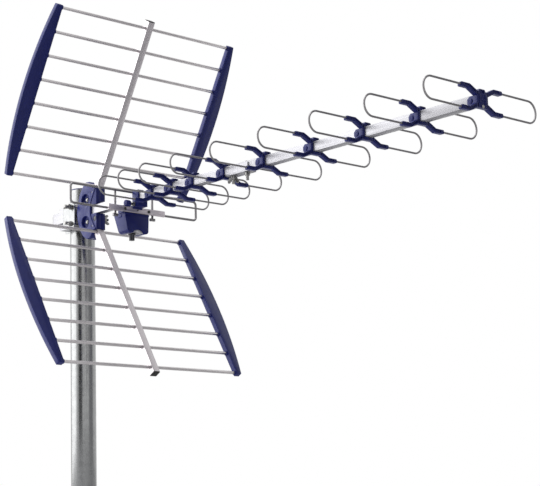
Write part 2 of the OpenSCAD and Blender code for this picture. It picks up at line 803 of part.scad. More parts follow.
module socket_arch(r) {
    translate([box_front - box_depth - 5, 0, arch_z]) rotate([0, 90, 0])
        cylinder(r = r, h = box_depth + 20);
}

module balun_housing() {
    color("midnightblue") on_boom() difference() {
        box_form(0);
        difference() {
            box_form(box_wall);
            socket_arch(arch_r + box_wall);
        }
        socket_arch(arch_r);
        translate([connector_x, 0, arch_z]) cylinder(d = connector_d + 0.4, h = arch_r + 6);
    }
}

// Pale liner in the arch under the box
module socket_liner() {
    color("lightgray") on_boom() difference() {
        intersection() {
            socket_arch(arch_r);
            box_form(0.6);
        }
        socket_arch(arch_r - liner_t);
        translate([connector_x, 0, arch_z]) cylinder(d = connector_d + 0.4, h = arch_r + 6);
    }
}

module coax_socket() {
    seat = arch_z + arch_r;
    color("dimgray") on_boom() difference() {
        union() {
            translate([connector_x, 0, box_low - 10]) cylinder(d = connector_d,
                h = seat + box_wall + 3 - box_low + 10);
            translate([connector_x, 0, seat + box_wall + 0.2])
                cylinder(d = 12 / cos(30), h = 2.5, $fn = 6);
            translate([connector_x, 0, seat - liner_t - 4.6])
                cylinder(d = 11 / cos(30), h = 2.6, $fn = 6);
        }
        translate([connector_x, 0, box_low - 11]) cylinder(d = 5, h = 9);
    }
}

mast_tube();
mast_cap();
mast_saddle();
mast_strap();
clamp_plate();
clamp_bolts();
clamp_wing_nuts();
rear_boom();
front_boom();
boom_plug();
boom_splice();
splice_bolts();
small_wing_nuts();
holder_left_half();
holder_right_half();
holder_bolts();
holder_nuts();
tube_pins();
clasp_bolt();
upper_tube();
lower_tube();
upper_tube_plug();
lower_tube_plug();
upper_rods();
lower_rods();
upper_left_cap();
upper_right_cap();
lower_left_cap();
lower_right_cap();
for (i = [0:8]) {
    director_clip(i);
    director_wires(i);
}
tip_screw();
dipole_loop();
dipole_struts();
dipole_plate();
dipole_screws();
dipole_bracket();
bracket_bolt();
bracket_knob();
bracket_nut();
balun_cover();
balun_housing();
socket_liner();
coax_socket();
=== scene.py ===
"""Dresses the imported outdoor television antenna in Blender.

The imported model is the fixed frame. Each sub-assembly is a class that models its pieces over the
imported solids, gives them their finishes and lets them ride on the mast or on the turning head.
"""

import json
import logging
import math
from dataclasses import dataclass, field
from enum import Enum
from typing import Any, Callable, Iterable, Sequence

import bpy
from mathutils import Euler, Matrix, Vector

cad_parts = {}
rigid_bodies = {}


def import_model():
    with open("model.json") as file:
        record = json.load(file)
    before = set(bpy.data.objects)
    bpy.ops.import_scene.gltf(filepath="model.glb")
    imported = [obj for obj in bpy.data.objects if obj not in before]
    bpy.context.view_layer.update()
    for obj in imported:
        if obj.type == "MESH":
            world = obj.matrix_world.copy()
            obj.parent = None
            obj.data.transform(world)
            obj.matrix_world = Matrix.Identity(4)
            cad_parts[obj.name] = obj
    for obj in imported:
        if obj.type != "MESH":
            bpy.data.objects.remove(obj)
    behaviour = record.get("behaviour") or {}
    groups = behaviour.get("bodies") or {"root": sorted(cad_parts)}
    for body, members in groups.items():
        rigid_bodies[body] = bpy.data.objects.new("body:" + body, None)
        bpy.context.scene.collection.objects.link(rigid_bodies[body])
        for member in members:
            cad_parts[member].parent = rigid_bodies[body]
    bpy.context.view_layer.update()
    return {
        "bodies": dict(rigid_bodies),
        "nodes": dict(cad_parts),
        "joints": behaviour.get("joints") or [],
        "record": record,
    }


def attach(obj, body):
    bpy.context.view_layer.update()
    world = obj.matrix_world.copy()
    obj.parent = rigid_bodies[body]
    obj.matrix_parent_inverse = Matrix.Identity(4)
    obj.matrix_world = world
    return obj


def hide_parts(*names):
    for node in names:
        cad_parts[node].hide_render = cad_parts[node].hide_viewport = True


LOG = logging.getLogger("antenna")

MM = 0.001
BOOM_Y = -0.033
BOOM_Z = 0.560
Point = tuple[float, float]


class Body(Enum):
    """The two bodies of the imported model."""

    MAST = "mast"
    HEAD = "head"


class Run(Enum):
    """Direction in which a tube, rod or wire was drawn, as a turn of its pattern."""

    ALONG_X = (0.0, 0.0, 0.0)
    ALONG_Y = (0.0, 0.0, math.radians(90.0))
    ALONG_Z = (0.0, math.radians(90.0), 0.0)
    UPPER_TUBE = (0.0, math.radians(60.0), 0.0)
    LOWER_TUBE = (0.0, math.radians(-60.0), 0.0)


def linear(code: str) -> tuple[float, float, float, float]:
    """Turns an sRGB hex colour to a linear one.

    Args:
        code: Colour such as "#1b1b4d".

    Returns:
        Linear red, green, blue and an alpha of one.
    """
    parts = [int(code[i:i + 2], 16) / 255.0 for i in (1, 3, 5)]
    red, green, blue = (p / 12.92 if p <= 0.04045 else ((p + 0.055) / 1.055) ** 2.4 for p in parts)
    return (red, green, blue, 1.0)


def add_node(
    tree: bpy.types.NodeTree,
    kind: str,
    settings: dict[str, Any] | None = None,
    inputs: dict[Any, Any] | None = None,
) -> bpy.types.Node:
    """Adds one node to a tree.

    Args:
        tree: The node tree.
        kind: The node's type name.
        settings: Attributes to set on the node.
        inputs: Values or source sockets for its inputs, by name or number.

    Returns:
        The new node.
    """
    made = tree.nodes.new(kind)
    for key, value in (settings or {}).items():
        setattr(made, key, value)
    for key, value in (inputs or {}).items():
        if isinstance(value, bpy.types.NodeSocket):
            tree.links.new(value, made.inputs[key])
        else:
            made.inputs[key].default_value = value
    return made


def new_material(name: str) -> tuple[bpy.types.Material, bpy.types.NodeTree, bpy.types.Node]:
    """Makes an empty node material.

    Args:
        name: The material's name.

    Returns:
        The material, its tree and its Principled shader, already linked to the output.
    """
    material = bpy.data.materials.new(name)
    material.use_nodes = True
    tree = material.node_tree
    tree.nodes.clear()
    shader = add_node(tree, "ShaderNodeBsdfPrincipled")
    add_node(tree, "ShaderNodeOutputMaterial", inputs={"Surface": shader.outputs[0]})
    return material, tree, shader


@dataclass(frozen=True)
class MouldedPolyamide:
    """Injection-moulded polyamide with glass fibre: satin, with a fine spark-eroded grain."""

    name: str = "moulded_navy_polyamide"
    colour: str = "#18206a"
    paler: str = "#202a78"
    roughness: float = 0.34
    specular: float = 0.3

    def build(self) -> bpy.types.Material:
        """Makes the material. The 0.2 mm grain is drawn at 1.1 mm, so that it shows."""
        material, tree, shader = new_material(self.name)
        place = add_node(tree, "ShaderNodeTexCoord").outputs["Object"]
        grain = add_node(tree, "ShaderNodeTexNoise", inputs={
            "Vector": place, "Scale": 900.0, "Detail": 3.0, "Roughness": 0.6})
        flow = add_node(tree, "ShaderNodeTexNoise", inputs={
            "Vector": place, "Scale": 45.0, "Detail": 4.0, "Roughness": 0.55})
        tone = add_node(tree, "ShaderNodeMix", {"data_type": "RGBA"}, {
            0: flow.outputs["Fac"], 6: linear(self.colour), 7: linear(self.paler)})
        gloss = add_node(tree, "ShaderNodeMapRange", inputs={
            "Value": flow.outputs["Fac"], "From Min": 0.3, "From Max": 0.7,
            "To Min": self.roughness - 0.05, "To Max": self.roughness + 0.09})
        bump = add_node(tree, "ShaderNodeBump", inputs={
            "Height": grain.outputs["Fac"], "Strength": 0.16, "Distance": 0.0004})
        tree.links.new(tone.outputs[2], shader.inputs["Base Color"])
        tree.links.new(gloss.outputs[0], shader.inputs["Roughness"])
        tree.links.new(bump.outputs[0], shader.inputs["Normal"])
        shader.inputs["IOR"].default_value = 1.53
        shader.inputs["Specular IOR Level"].default_value = self.specular
        return material


@dataclass(frozen=True)
class DrawnMetal:
    """Metal drawn or extruded through a die: bright, with long fine lines and dull patches."""

    name: str
    run: Run
    colour: str = "#9a989a"
    duller: str = "#838083"
    roughness: float = 0.3
    line_mm: float = 1.2

    def build(self) -> bpy.types.Material:
        """Makes the material. The lines, 0.1 mm wide on the real one, are drawn at line_mm."""
        material, tree, shader = new_material(self.name)
        place = add_node(tree, "ShaderNodeTexCoord").outputs["Object"]
        turned = add_node(tree, "ShaderNodeMapping", {"vector_type": "POINT"}, {
            "Vector": place, "Rotation": self.run.value})
        stretched = add_node(tree, "ShaderNodeMapping", {"vector_type": "POINT"}, {
            "Vector": turned.outputs[0],
            "Scale": (6.0, 1000.0 / self.line_mm, 1000.0 / self.line_mm)})
        lines = add_node(tree, "ShaderNodeTexNoise", inputs={
            "Vector": stretched.outputs[0], "Scale": 1.0, "Detail": 3.0, "Roughness": 0.6})
        patches = add_node(tree, "ShaderNodeTexNoise", inputs={
            "Vector": place, "Scale": 38.0, "Detail": 5.0, "Roughness": 0.6})
        tone = add_node(tree, "ShaderNodeMix", {"data_type": "RGBA"}, {
            0: patches.outputs["Fac"], 6: linear(self.duller), 7: linear(self.colour)})
        gloss = add_node(tree, "ShaderNodeMapRange", inputs={
            "Value": lines.outputs["Fac"], "From Min": 0.3, "From Max": 0.7,
            "To Min": self.roughness - 0.07, "To Max": self.roughness + 0.12})
        bump = add_node(tree, "ShaderNodeBump", inputs={
            "Height": lines.outputs["Fac"], "Strength": 0.05, "Distance": 0.0003})
        tree.links.new(tone.outputs[2], shader.inputs["Base Color"])
        tree.links.new(gloss.outputs[0], shader.inputs["Roughness"])
        tree.links.new(bump.outputs[0], shader.inputs["Normal"])
        shader.inputs["Metallic"].default_value = 1.0
        return material


@dataclass(frozen=True)
class GalvanisedSteel:
    """Hot-dip galvanised steel tube: grey zinc with faint crystals and drawn-out streaks."""

    name: str = "hot_dip_galvanised_steel"
    colour: str = "#a4a5a5"
    darker: str = "#868788"
    crystal_mm: float = 7.0
    roughness: float = 0.25

    def build(self) -> bpy.types.Material:
        """Makes the material. Zinc crystals are 5 to 10 mm across on a tube like this."""
        material, tree, shader = new_material(self.name)
        place = add_node(tree, "ShaderNodeTexCoord").outputs["Object"]
        crystals = add_node(tree, "ShaderNodeTexVoronoi", inputs={
            "Vector": place, "Scale": 1000.0 / self.crystal_mm, "Randomness": 1.0})
        drawn = add_node(tree, "ShaderNodeMapping", inputs={
            "Vector": place, "Scale": (420.0, 420.0, 5.0)})
        streaks = add_node(tree, "ShaderNodeTexNoise", inputs={
            "Vector": drawn.outputs[0], "Scale": 1.0, "Detail": 4.0, "Roughness": 0.6})
        mixed = add_node(tree, "ShaderNodeMix", {"data_type": "FLOAT"}, {
            0: 0.7, 2: crystals.outputs["Color"], 3: streaks.outputs["Fac"]})
        tone = add_node(tree, "ShaderNodeMix", {"data_type": "RGBA"}, {
            0: mixed.outputs[0], 6: linear(self.darker), 7: linear(self.colour)})
        gloss = add_node(tree, "ShaderNodeMapRange", inputs={
            "Value": mixed.outputs[0], "From Min": 0.2, "From Max": 0.8,
            "To Min": self.roughness + 0.08, "To Max": self.roughness - 0.06})
        bump = add_node(tree, "ShaderNodeBump", inputs={
            "Height": streaks.outputs["Fac"], "Strength": 0.08, "Distance": 0.0004})
        tree.links.new(tone.outputs[2], shader.inputs["Base Color"])
        tree.links.new(gloss.outputs[0], shader.inputs["Roughness"])
        tree.links.new(bump.outputs[0], shader.inputs["Normal"])
        shader.inputs["Metallic"].default_value = 1.0
        return material


@dataclass(frozen=True)
class PlatedSteel:
    """Zinc-plated fastener steel: bright and slightly mottled where it was handled."""

    name: str = "zinc_plated_steel"
    colour: str = "#a9a8a6"
    darker: str = "#7c7b7a"
    roughness: float = 0.28

    def build(self) -> bpy.types.Material:
        """Makes the material, with mottling about 4 mm across and fine handling marks."""
        material, tree, shader = new_material(self.name)
        place = add_node(tree, "ShaderNodeTexCoord").outputs["Object"]
        mottle = add_node(tree, "ShaderNodeTexNoise", inputs={
            "Vector": place, "Scale": 240.0, "Detail": 5.0, "Roughness": 0.65})
        tone = add_node(tree, "ShaderNodeMix", {"data_type": "RGBA"}, {
            0: mottle.outputs["Fac"], 6: linear(self.darker), 7: linear(self.colour)})
        gloss = add_node(tree, "ShaderNodeMapRange", inputs={
            "Value": mottle.outputs["Fac"], "From Min": 0.3, "From Max": 0.7,
            "To Min": self.roughness + 0.1, "To Max": self.roughness - 0.06})
        bump = add_node(tree, "ShaderNodeBump", inputs={
            "Height": mottle.outputs["Fac"], "Strength": 0.1, "Distance": 0.0003})
        tree.links.new(tone.outputs[2], shader.inputs["Base Color"])
        tree.links.new(gloss.outputs[0], shader.inputs["Roughness"])
        tree.links.new(bump.outputs[0], shader.inputs["Normal"])
        shader.inputs["Metallic"].default_value = 1.0
        return material


@dataclass
class Workshop:
    """The finishes, made once, and the bench work that all the sub-assemblies share."""

    frame: dict[str, Any]
    finishes: dict[str, bpy.types.Material] = field(default_factory=dict)

    def __post_init__(self) -> None:
        """Builds every finish once."""
        recipes = {
            "navy": MouldedPolyamide(),
            "black": MouldedPolyamide("moulded_black_polyethylene", "#0c0c0e", "#17171a", 0.5, 0.4),
            "pale": MouldedPolyamide("moulded_pale_acetal", "#b9b9be", "#c9c9cc", 0.4, 0.5),
            "oxide": MouldedPolyamide("black_oxide_steel", "#0d0d0f", "#1a1a1e", 0.35, 0.6),
            "boom": DrawnMetal("extruded_boom_aluminium", Run.ALONG_X, "#b3b3b7", "#a7a6aa", 0.42),
            # The upper and lower tubes are one aluminium: the upper tube's colour is painted
            # lighter for light, the lower tube's painted darker for shade.
            "upper": DrawnMetal("extruded_upper_tube_painted_lit", Run.UPPER_TUBE, "#dad5d8", "#cbc6c9", 0.34),
            "lower": DrawnMetal("extruded_lower_tube_painted_shade", Run.LOWER_TUBE, "#c6c1c4", "#b7b2b5", 0.34),
            "rod": DrawnMetal("drawn_rod_aluminium", Run.ALONG_Y, "#dad6d7", "#c8c4c5", 0.3),
            "wire": DrawnMetal("drawn_wire_aluminium", Run.ALONG_Y, "#9a989a", "#807e80", 0.3),
            "sheet": DrawnMetal("rolled_aluminium_sheet", Run.ALONG_Y, "#d6cfd4", "#c8c1c8", 0.4),
            "galvanised": GalvanisedSteel(),
            "plated": PlatedSteel(),
            "dark_plated": PlatedSteel("dark_nickel_brass", "#55555a", "#2c2c30", 0.32),
        }
        self.finishes = {key: recipe.build() for key, recipe in recipes.items()}

    def deselect(self) -> None:
        """Leaves edit mode and deselects every object."""
        if bpy.context.object and bpy.context.object.mode != "OBJECT":
            bpy.ops.object.mode_set(mode="OBJECT")
        bpy.ops.object.select_all(action="DESELECT")

    def take(self, piece: bpy.types.Object) -> None:
        """Selects one object and makes it the active one."""
        self.deselect()
        piece.select_set(True)
        bpy.context.view_layer.objects.active = piece

    def settle(self, piece: bpy.types.Object) -> bpy.types.Object:
        """Applies a piece's place, turn and scale to its mesh."""
        self.take(piece)
        bpy.ops.object.transform_apply(location=True, rotation=True, scale=True)
        return piece

    def modify(self, piece: bpy.types.Object, kind: str, **settings: Any) -> None:
        """Adds one modifier with its settings and applies it."""
        self.take(piece)
        modifier = piece.modifiers.new(kind.lower(), kind)
        for key, value in settings.items():
            setattr(modifier, key, value)
        bpy.ops.object.modifier_apply(modifier=modifier.name)

    def block(self, name: str, low: Sequence[float], high: Sequence[float],
              soft: float = 0.0) -> bpy.types.Object:
        """Models a block between two corners.

        Args:
            name: The block's name.
            low: Its lowest corner, in metres.
            high: Its highest corner.
            soft: Width of the rounding of its edges, in metres.

        Returns:
            The block.
        """
        self.deselect()
        middle = [(a + b) / 2.0 for a, b in zip(low, high)]
        bpy.ops.mesh.primitive_cube_add(size=1.0, location=middle)
        piece = bpy.context.object
        piece.name = name
        piece.scale = [b - a for a, b in zip(low, high)]
        self.settle(piece)
        if soft > 0.0:
            self.modify(piece, "BEVEL", width=soft, segments=3, limit_method="ANGLE")
        return piece

    def round_bar(self, name: str, start: Vector, end: Vector, radius: float,
                  soft: float = 0.0, sides: int = 32,
                  end_radius: float | None = None) -> bpy.types.Object:
        """Models a round or conical bar between two points.

        Args:
            name: The bar's name.
            start: Centre of its first end, in metres.
            end: Centre of its other end.
            radius: Radius at the first end.
            soft: Rounding of its rims.
            sides: Number of sides.
            end_radius: Radius at the other end, where it differs.

        Returns:
            The bar.
        """
        self.deselect()
        run = end - start
        bpy.ops.mesh.primitive_cone_add(
            vertices=sides, radius1=radius, depth=run.length, location=(start + end) / 2.0,
            radius2=radius if end_radius is None else end_radius,
            rotation=run.to_track_quat("Z", "Y").to_euler())
        piece = bpy.context.object
        piece.name = name
        self.settle(piece)
        if soft > 0.0:
            self.modify(piece, "BEVEL", width=soft, segments=2, limit_method="ANGLE",
                        angle_limit=math.radians(40.0))
        return piece

    def ring(self, name: str, centre: Vector, axis: Vector, radius: float,
             thickness: float) -> bpy.types.Object:
        """Models a ring of round section about an axis."""
        self.deselect()
        bpy.ops.mesh.primitive_torus_add(
            major_radius=radius, minor_radius=thickness, major_segments=32, minor_segments=10,
            location=centre, rotation=axis.to_track_quat("Z", "Y").to_euler())
        piece = bpy.context.object
        piece.name = name
        return self.settle(piece)

    def slab(self, name: str, outline: Sequence[Point], start: float, end: float,
             side_view: bool = False) -> bpy.types.Object:
        """Models a slab from an outline: a ring of points is placed, filled and extruded.

        Args:
            name: The slab's name.
            outline: Points in metres, as (y, z), or as (x, z) in a side view.
            start: Where the slab starts along its third axis.
            end: Where it ends.
            side_view: Whether the outline lies in the X-Z plane.

        Returns:
            The slab.
        """
        self.deselect()
        bpy.ops.mesh.primitive_circle_add(vertices=len(outline), fill_type="NGON")
        piece = bpy.context.object
        piece.name = name
        for vertex, (across, up) in zip(piece.data.vertices, outline):
            vertex.co = (across, start, up) if side_view else (start, across, up)
        step = (0.0, end - start, 0.0) if side_view else (end - start, 0.0, 0.0)
        bpy.ops.object.mode_set(mode="EDIT")
        bpy.ops.mesh.select_all(action="SELECT")
        bpy.ops.mesh.extrude_region_move(TRANSFORM_OT_translate={"value": step})
        bpy.ops.mesh.select_all(action="SELECT")
        bpy.ops.mesh.normals_make_consistent(inside=False)
        bpy.ops.object.mode_set(mode="OBJECT")
        return piece

    def thread(self, name: str, start: Vector, end: Vector, radius: float,
               pitch: float = 0.9 * MM) -> bpy.types.Object:
        """Models a threaded end as a spun saw-tooth profile. M5 has a pitch of 0.8 mm.

        Args:
            name: The piece's name.
            start: Where the thread starts, in metres.
            end: Its tip.
            radius: Outer radius.
            pitch: Distance between crests.

        Returns:
            The threaded piece.
        """
        length = (end - start).length
        turns = max(2, int(length / pitch))
        profile: list[Point] = [(0.0, 0.0)]
        for index in range(turns):
            low = length * index / turns
            profile += [(radius * 0.88, low), (radius, low + length / turns / 2.0)]
        profile += [(radius * 0.8, length), (0.0, length)]
        self.deselect()
        bpy.ops.mesh.primitive_circle_add(vertices=len(profile), fill_type="NOTHING")
        piece = bpy.context.object
        piece.name = name
        for vertex, (out, up) in zip(piece.data.vertices, profile):
            vertex.co = (out, 0.0, up)
        bpy.ops.object.mode_set(mode="EDIT")
        bpy.ops.mesh.select_all(action="SELECT")
        bpy.ops.mesh.spin(steps=24, angle=math.tau, center=(0, 0, 0), axis=(0, 0, 1))
        bpy.ops.mesh.select_all(action="SELECT")
        bpy.ops.mesh.remove_doubles(threshold=0.00001)
        bpy.ops.mesh.normals_make_consistent(inside=False)
        bpy.ops.object.mode_set(mode="OBJECT")
        piece.rotation_euler = (end - start).to_track_quat("Z", "Y").to_euler()
        piece.location = start
        return self.settle(piece)

    def carve(self, piece: bpy.types.Object, tool: bpy.types.Object) -> None:
        """Cuts a tool's shape out of a piece and throws the tool away."""
        self.modify(piece, "BOOLEAN", operation="DIFFERENCE", object=tool, solver="EXACT")
        bpy.data.objects.remove(tool, do_unlink=True)

    def join(self, name: str, parts: Sequence[bpy.types.Object]) -> bpy.types.Object:
        """Joins parts into one piece."""
        self.take(parts[0])
        for part in parts:
            part.select_set(True)
        if len(parts) > 1:
            bpy.ops.object.join()
        parts[0].name = name
        parts[0].data.name = name
        return parts[0]

    def soften(self, node: str, width: float, segments: int = 2) -> bpy.types.Object:
        """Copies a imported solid, merges its loose triangles and rounds its sharp edges.

        Args:
            node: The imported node.
            width: Width of the rounding in metres.
            segments: Number of steps in the rounding.

        Returns:
            The softened copy, which still has to replace the node.
        """
        self.take(self.frame["nodes"][node])
        bpy.ops.object.duplicate()
        piece = bpy.context.object
        piece.name = f"finished_{node}"
        for key in list(piece.keys()):
            del piece[key]
        piece.parent = None
        self.take(piece)
        bpy.ops.object.transform_apply(location=True, rotation=True, scale=True)
        bpy.ops.mesh.customdata_custom_splitnormals_clear()
        bpy.ops.object.mode_set(mode="EDIT")
        bpy.ops.mesh.select_all(action="SELECT")
        bpy.ops.mesh.remove_doubles(threshold=0.00002)
        bpy.ops.mesh.dissolve_limited(angle_limit=math.radians(1.0))
        bpy.ops.object.mode_set(mode="OBJECT")
        if width > 0.0:
            self.modify(piece, "BEVEL", width=width, segments=segments, limit_method="ANGLE",
                        angle_limit=math.radians(38.0), use_clamp_overlap=True)
        return piece

    def dress(self, piece: bpy.types.Object, finish: str, slot: str, body: Body,
              replaces: Iterable[str] = ()) -> bpy.types.Object:
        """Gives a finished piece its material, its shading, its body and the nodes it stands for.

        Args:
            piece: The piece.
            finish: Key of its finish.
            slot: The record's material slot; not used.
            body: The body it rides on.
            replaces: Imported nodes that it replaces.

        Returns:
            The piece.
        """
        piece.data.materials.clear()
        piece.data.materials.append(self.finishes[finish])
        self.take(piece)
        bpy.ops.object.shade_smooth_by_angle(angle=math.radians(32.0))
        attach(piece, body.value)
        for node in replaces:
            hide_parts(node)
        LOG.info("%s: %d faces", piece.name, len(piece.data.polygons))
        return piece

    def refine(self, node: str, width_mm: float, finish: str, slot: str,
               body: Body = Body.HEAD) -> bpy.types.Object:
        """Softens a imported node, dresses it and lets it replace the node."""
        return self.dress(self.soften(node, width_mm * MM), finish, slot, body, [node])

    def keep(self, node: str, finish: str) -> None:
        """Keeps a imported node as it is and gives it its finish."""
        kept = self.frame["nodes"][node]
        for index in range(max(1, len(kept.material_slots))):
            if kept.material_slots:
                kept.material_slots[index].material = self.finishes[finish]
            else:
                kept.data.materials.append(self.finishes[finish])
        LOG.info("%s: kept, %s", node, finish)


def boom_point(x: float, y: float, z: float) -> Vector:
    """Turns a point given in millimetres from the boom's axis to metres in the frame."""
    return Vector((x * MM, BOOM_Y + y * MM, BOOM_Z + z * MM))


def rounded(points: Sequence[Point], radius: float, steps: int = 3) -> list[Point]:
    """Rounds the corners of an outline.

    Args:
        points: The outline's corners.
        radius: Radius of each corner, in the points' unit.
        steps: Number of steps round a corner.

    Returns:
        The rounded outline.
    """
    made: list[Point] = []
    for index, here in enumerate(points):
        corner = Vector(here)
        before = (Vector(points[index - 1]) - corner).normalized()
        after = (Vector(points[(index + 1) % len(points)]) - corner).normalized()
        half = math.acos(max(-1.0, min(1.0, before.dot(after)))) / 2.0
        reach = radius / math.tan(half)
        start, end = corner + before * reach, corner + after * reach
        for step in range(steps + 1):
            part = step / steps
            bend = (start * (1 - part) ** 2 + corner * (2 * part * (1 - part)) + end * part ** 2)
            made.append((bend.x, bend.y))
    return made


@dataclass
class Mast:
    """The galvanised mast and its top cap. Sizes in millimetres."""

    shop: Workshop
    radius: float = 22.5
    wall: float = 2.0
    height: float = 613.0

    def build(self) -> None:
        """Models the tube with a smooth round wall and rounded rims, and softens the cap."""
        shop = self.shop
        shop.deselect()
        bpy.ops.mesh.primitive_cylinder_add(
            vertices=128, radius=self.radius * MM, depth=self.height * MM, end_fill_type="NOTHING",
            location=(0.0, 0.0, self.height * MM / 2.0))
        tube = bpy.context.object
        tube.name = "mast_tube_round"
        shop.settle(tube)
        shop.modify(tube, "SOLIDIFY", thickness=self.wall * MM, offset=-1.0)
        shop.modify(tube, "BEVEL", width=0.4 * MM, segments=2, limit_method="ANGLE")
        shop.dress(tube, "galvanised", "galvanised_steel", Body.MAST, ["mast_tube"])
        shop.refine("mast_cap", 0.7, "navy", "navy_plastic", Body.MAST)


@dataclass
class MastClamp:
    """Saddle, strap, plate and bolts that hold the boom beside the mast."""

    shop: Workshop
    bolt_x: float = 28.0
    heights: tuple[float, float] = (14.0, -16.5)

    def build(self) -> None:
        """Softens the clamp's pieces and adds washers and threaded bolt tips."""
        shop = self.shop
        shop.refine("mast_saddle", 0.8, "boom", "bright_aluminium")
        shop.refine("mast_strap", 0.4, "galvanised", "galvanised_steel")
        shop.refine("clamp_plate", 0.5, "galvanised", "galvanised_steel")
        shop.refine("clamp_wing_nuts", 0.35, "plated", "plated_steel")
        bolts = [shop.soften("clamp_bolts", 0.3 * MM)]
        for height in self.heights:
            bolts.append(shop.thread("tip", boom_point(self.bolt_x, -17.5, height),
                                     boom_point(self.bolt_x, -26.4, height), 3.0 * MM))
            bolts.append(shop.ring("washer", boom_point(self.bolt_x, 21.2, height),
                                   Vector((0, 1, 0)), 5.2 * MM, 0.7 * MM))
        shop.dress(shop.join("clamp_bolts_threaded", bolts), "plated", "plated_steel", Body.HEAD,
                   ["clamp_bolts"])


@dataclass
class Boom:
    """The two square boom tubes, their joining channel and its bolts."""

    shop: Workshop
    bolt_xs: tuple[float, float] = (455.0, 489.0)

    def build(self) -> None:
        """Rounds the tubes' corners and models the bolts with threads and washers."""
        shop = self.shop
        shop.refine("rear_boom", 0.7, "boom", "bright_aluminium")
        shop.refine("front_boom", 0.7, "boom", "bright_aluminium")
        shop.refine("boom_plug", 0.5, "black", "black_plastic")
        shop.refine("boom_splice", 0.5, "boom", "bright_aluminium")
        shop.refine("small_wing_nuts", 0.35, "plated", "plated_steel")
        bolts = [shop.soften("splice_bolts", 0.2 * MM)]
        for x in self.bolt_xs:
            bolts.append(shop.thread("tip", boom_point(x, 0, -15), boom_point(x, 0, -21.6),
                                     2.55 * MM))
            bolts.append(shop.ring("washer", boom_point(x, 0, 7.7), Vector((0, 0, 1)),
                                   5.6 * MM, 0.5 * MM))
        shop.dress(shop.join("splice_bolts_threaded", bolts), "plated", "plated_steel", Body.HEAD,
                   ["splice_bolts"])


@dataclass
class Holder:
    """The moulded holder of the reflector, in two halves."""

    shop: Workshop

    def build(self) -> None:
        """Softens the two halves and adds the rims and seats of the moulding."""
        shop = self.shop
        for node, side in (("holder_left_half", 1.0), ("holder_right_half", -1.0)):
            parts = [shop.soften(node, 0.6 * MM)]
            for height in (20.0, -20.0):
                parts.append(shop.ring("rim", boom_point(69, side * 11.0, height),
                                       Vector((0, 1, 0)), 10.9 * MM, 0.55 * MM))
                parts.append(shop.ring("seat", boom_point(69, side * 6.1, height),
                                       Vector((0, 1, 0)), 5.4 * MM, 0.6 * MM))
            shop.dress(shop.join(f"{node}_moulded", parts), "navy", "navy_plastic", Body.HEAD,
                       [node])
        shop.refine("holder_bolts", 0.2, "plated", "plated_steel")
        shop.refine("holder_nuts", 0.25, "plated", "plated_steel")
        shop.refine("tube_pins", 0.3, "plated", "plated_steel")
        shop.refine("clasp_bolt", 0.25, "dark_plated", "plated_steel")


